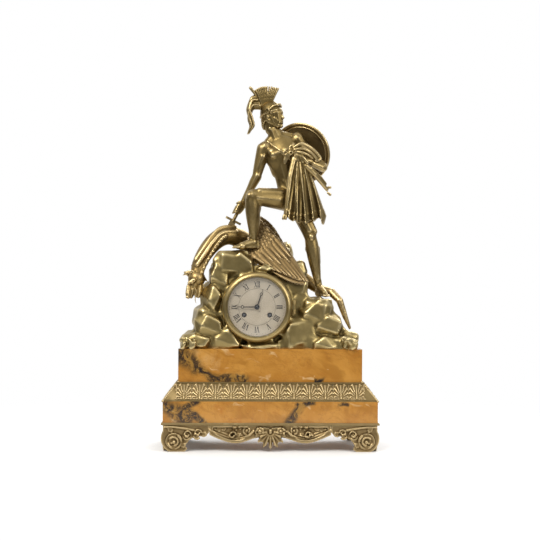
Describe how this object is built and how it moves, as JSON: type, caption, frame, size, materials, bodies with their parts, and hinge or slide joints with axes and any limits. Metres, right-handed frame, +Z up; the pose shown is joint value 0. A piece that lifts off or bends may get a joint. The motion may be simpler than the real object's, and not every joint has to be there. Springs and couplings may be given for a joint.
{
  "type": "figural mantel clock",
  "caption": "Gilt-bronze and yellow-marble mantel clock with a helmeted hero standing over a slain dragon on rocks that hold the drum case.",
  "frame": {"origin": "centre of the footprint at the underside of the feet", "axes": "+X to the right of the dial, -Y to the front, +Z up"},
  "size_m": [0.3802, 0.162, 0.6528],
  "materials": {
    "gilt_bronze": "satin gilding with darker recesses",
    "siena_marble": "polished yellow marble with dark veins",
    "rock_bronze": "matt gilt bronze with brown patina",
    "figure_bronze": "satin olive-gold gilt bronze",
    "iron": "blackened",
    "glass": "clear, convex",
    "silvered_dial": "silvered, engine-turned centre, black numerals",
    "blued_steel": "blued",
    "bell_metal": "turned",
    "steel": "polished",
    "movement_brass": "polished"
  },
  "bodies": {
    "clock": {"back_plate": "movement_brass", "base_frame": "gilt_bronze", "bell": "bell_metal", "bell_stand": "steel", "bezel_hinge_pin": "steel", "dial_plate": "silvered_dial", "dragon_body": "rock_bronze", "dragon_neck": "rock_bronze", "dragon_wing": "rock_bronze", "drum_case": "movement_brass", "figure_body": "figure_bronze", "figure_head": "figure_bronze", "fleece": "figure_bronze", "frieze_moulding": "gilt_bronze", "front_apron": "gilt_bronze", "front_feet": "gilt_bronze", "front_plate": "movement_brass", "helmet": "figure_bronze", "helmet_crest": "figure_bronze", "left_arm": "figure_bronze", "lower_marble": "siena_marble", "movement_straps": "movement_brass", "plate_pillars": "steel", "ratchet_clicks": "steel", "rear_feet": "gilt_bronze", "rear_hinge_pin": "steel", "right_arm": "figure_bronze", "rock_mound": "rock_bronze", "shield": "figure_bronze", "strap_screws": "blued_steel", "suspension_cock": "movement_brass", "sword": "figure_bronze", "tie_rods": "iron", "upper_marble": "siena_marble"},
    "bezel_door": {"bezel_ring": "gilt_bronze", "bezel_glass": "glass"},
    "rear_door": {"rear_door": "movement_brass"},
    "minute_hand": {"minute_hand": "blued_steel", "cannon_pinion": "steel"},
    "hour_hand": {"hour_hand": "blued_steel", "hour_wheel": "movement_brass"},
    "minute_wheel": {"minute_wheel": "movement_brass"},
    "going_barrel": {"going_barrel": "movement_brass", "going_mainspring": "steel"},
    "going_arbor": {"going_arbor": "steel"},
    "going_second_wheel": {"going_second_wheel": "movement_brass"},
    "centre_wheel": {"centre_wheel": "movement_brass"},
    "third_wheel": {"third_wheel": "movement_brass"},
    "escape_wheel": {"escape_wheel": "movement_brass"},
    "anchor_crutch": {"anchor_crutch": "steel"},
    "pendulum": {"pendulum_rod": "steel", "pendulum_bob": "movement_brass"},
    "strike_barrel": {"strike_barrel": "movement_brass", "strike_mainspring": "steel"},
    "strike_arbor": {"strike_arbor": "steel"},
    "strike_second_wheel": {"strike_second_wheel": "movement_brass"},
    "pin_wheel": {"pin_wheel": "movement_brass"},
    "locking_wheel": {"locking_wheel": "movement_brass"},
    "fly": {"fly": "movement_brass"},
    "hammer": {"hammer": "steel"}
  },
  "joints": [
    {"name": "bezel_hinge", "type": "hinge", "parent": "clock", "child": "bezel_door", "pos_m": [0.0415, -0.051, 0.251], "axis": [0, 0, 1], "range_deg": [0, 100]},
    {"name": "rear_door_hinge", "type": "hinge", "parent": "clock", "child": "rear_door", "pos_m": [-0.0787, 0.047, 0.251], "axis": [0, 0, 1], "range_deg": [0, 110]},
    {"name": "minute_hand_turn", "type": "hinge", "parent": "clock", "child": "minute_hand", "pos_m": [-0.024, -0.05, 0.251], "axis": [0, 1, 0], "continuous": true},
    {"name": "hour_hand_turn", "type": "hinge", "parent": "clock", "child": "hour_hand", "pos_m": [-0.024, -0.05, 0.251], "axis": [0, 1, 0], "continuous": true},
    {"name": "minute_wheel_turn", "type": "hinge", "parent": "clock", "child": "minute_wheel", "pos_m": [-0.0168, -0.043, 0.26347], "axis": [0, 1, 0], "continuous": true},
    {"name": "going_barrel_turn", "type": "hinge", "parent": "clock", "child": "going_barrel", "pos_m": [-0.0015, -0.023, 0.237], "axis": [0, 1, 0], "continuous": true},
    {"name": "going_winding", "type": "hinge", "parent": "clock", "child": "going_arbor", "pos_m": [-0.0015, -0.023, 0.237], "axis": [0, 1, 0], "continuous": true},
    {"name": "going_second_turn", "type": "hinge", "parent": "clock", "child": "going_second_wheel", "pos_m": [-0.0066, -0.023, 0.26044], "axis": [0, 1, 0], "continuous": true},
    {"name": "centre_turn", "type": "hinge", "parent": "clock", "child": "centre_wheel", "pos_m": [-0.024, -0.023, 0.251], "axis": [0, 1, 0], "continuous": true},
    {"name": "third_turn", "type": "hinge", "parent": "clock", "child": "third_wheel", "pos_m": [-0.02875, -0.023, 0.26611], "axis": [0, 1, 0], "continuous": true},
    {"name": "escape_turn", "type": "hinge", "parent": "clock", "child": "escape_wheel", "pos_m": [-0.024, -0.023, 0.278], "axis": [0, 1, 0], "continuous": true},
    {"name": "anchor_swing", "type": "hinge", "parent": "clock", "child": "anchor_crutch", "pos_m": [-0.024, -0.023, 0.292], "axis": [0, 1, 0], "range_deg": [-3, 3]},
    {"name": "pendulum_swing", "type": "hinge", "parent": "clock", "child": "pendulum", "pos_m": [-0.024, 0.002, 0.292], "axis": [0, 1, 0], "range_deg": [-3, 3]},
    {"name": "strike_barrel_turn", "type": "hinge", "parent": "clock", "child": "strike_barrel", "pos_m": [-0.0465, -0.023, 0.237], "axis": [0, 1, 0], "continuous": true},
    {"name": "strike_winding", "type": "hinge", "parent": "clock", "child": "strike_arbor", "pos_m": [-0.0465, -0.023, 0.237], "axis": [0, 1, 0], "continuous": true},
    {"name": "strike_second_turn", "type": "hinge", "parent": "clock", "child": "strike_second_wheel", "pos_m": [-0.052, -0.023, 0.26036], "axis": [0, 1, 0], "continuous": true},
    {"name": "pin_wheel_turn", "type": "hinge", "parent": "clock", "child": "pin_wheel", "pos_m": [-0.0469, -0.023, 0.2743], "axis": [0, 1, 0], "continuous": true},
    {"name": "locking_turn", "type": "hinge", "parent": "clock", "child": "locking_wheel", "pos_m": [-0.0352, -0.023, 0.2785], "axis": [0, 1, 0], "continuous": true},
    {"name": "fly_turn", "type": "hinge", "parent": "clock", "child": "fly", "pos_m": [-0.0369, -0.023, 0.2882], "axis": [0, 1, 0], "continuous": true},
    {"name": "hammer_lift", "type": "hinge", "parent": "clock", "child": "hammer", "pos_m": [-0.0615, -0.023, 0.2725], "axis": [0, 1, 0], "range_deg": [0, 15]}
  ],
  "couplings": [
    {"joint": "hour_hand_turn", "follows": "minute_hand_turn", "ratio": 0.083333},
    {"joint": "minute_wheel_turn", "follows": "minute_hand_turn", "ratio": -0.33333},
    {"joint": "going_second_turn", "follows": "centre_turn", "ratio": -0.18519},
    {"joint": "going_barrel_turn", "follows": "centre_turn", "ratio": 0.02572},
    {"joint": "third_turn", "follows": "centre_turn", "ratio": -10},
    {"joint": "escape_turn", "follows": "centre_turn", "ratio": 90},
    {"joint": "strike_second_turn", "follows": "pin_wheel_turn", "ratio": -0.20833},
    {"joint": "strike_barrel_turn", "follows": "pin_wheel_turn", "ratio": 0.028935},
    {"joint": "locking_turn", "follows": "pin_wheel_turn", "ratio": -6},
    {"joint": "fly_turn", "follows": "pin_wheel_turn", "ratio": 30},
    {"joint": "anchor_swing", "follows": "pendulum_swing", "ratio": 1}
  ]
}
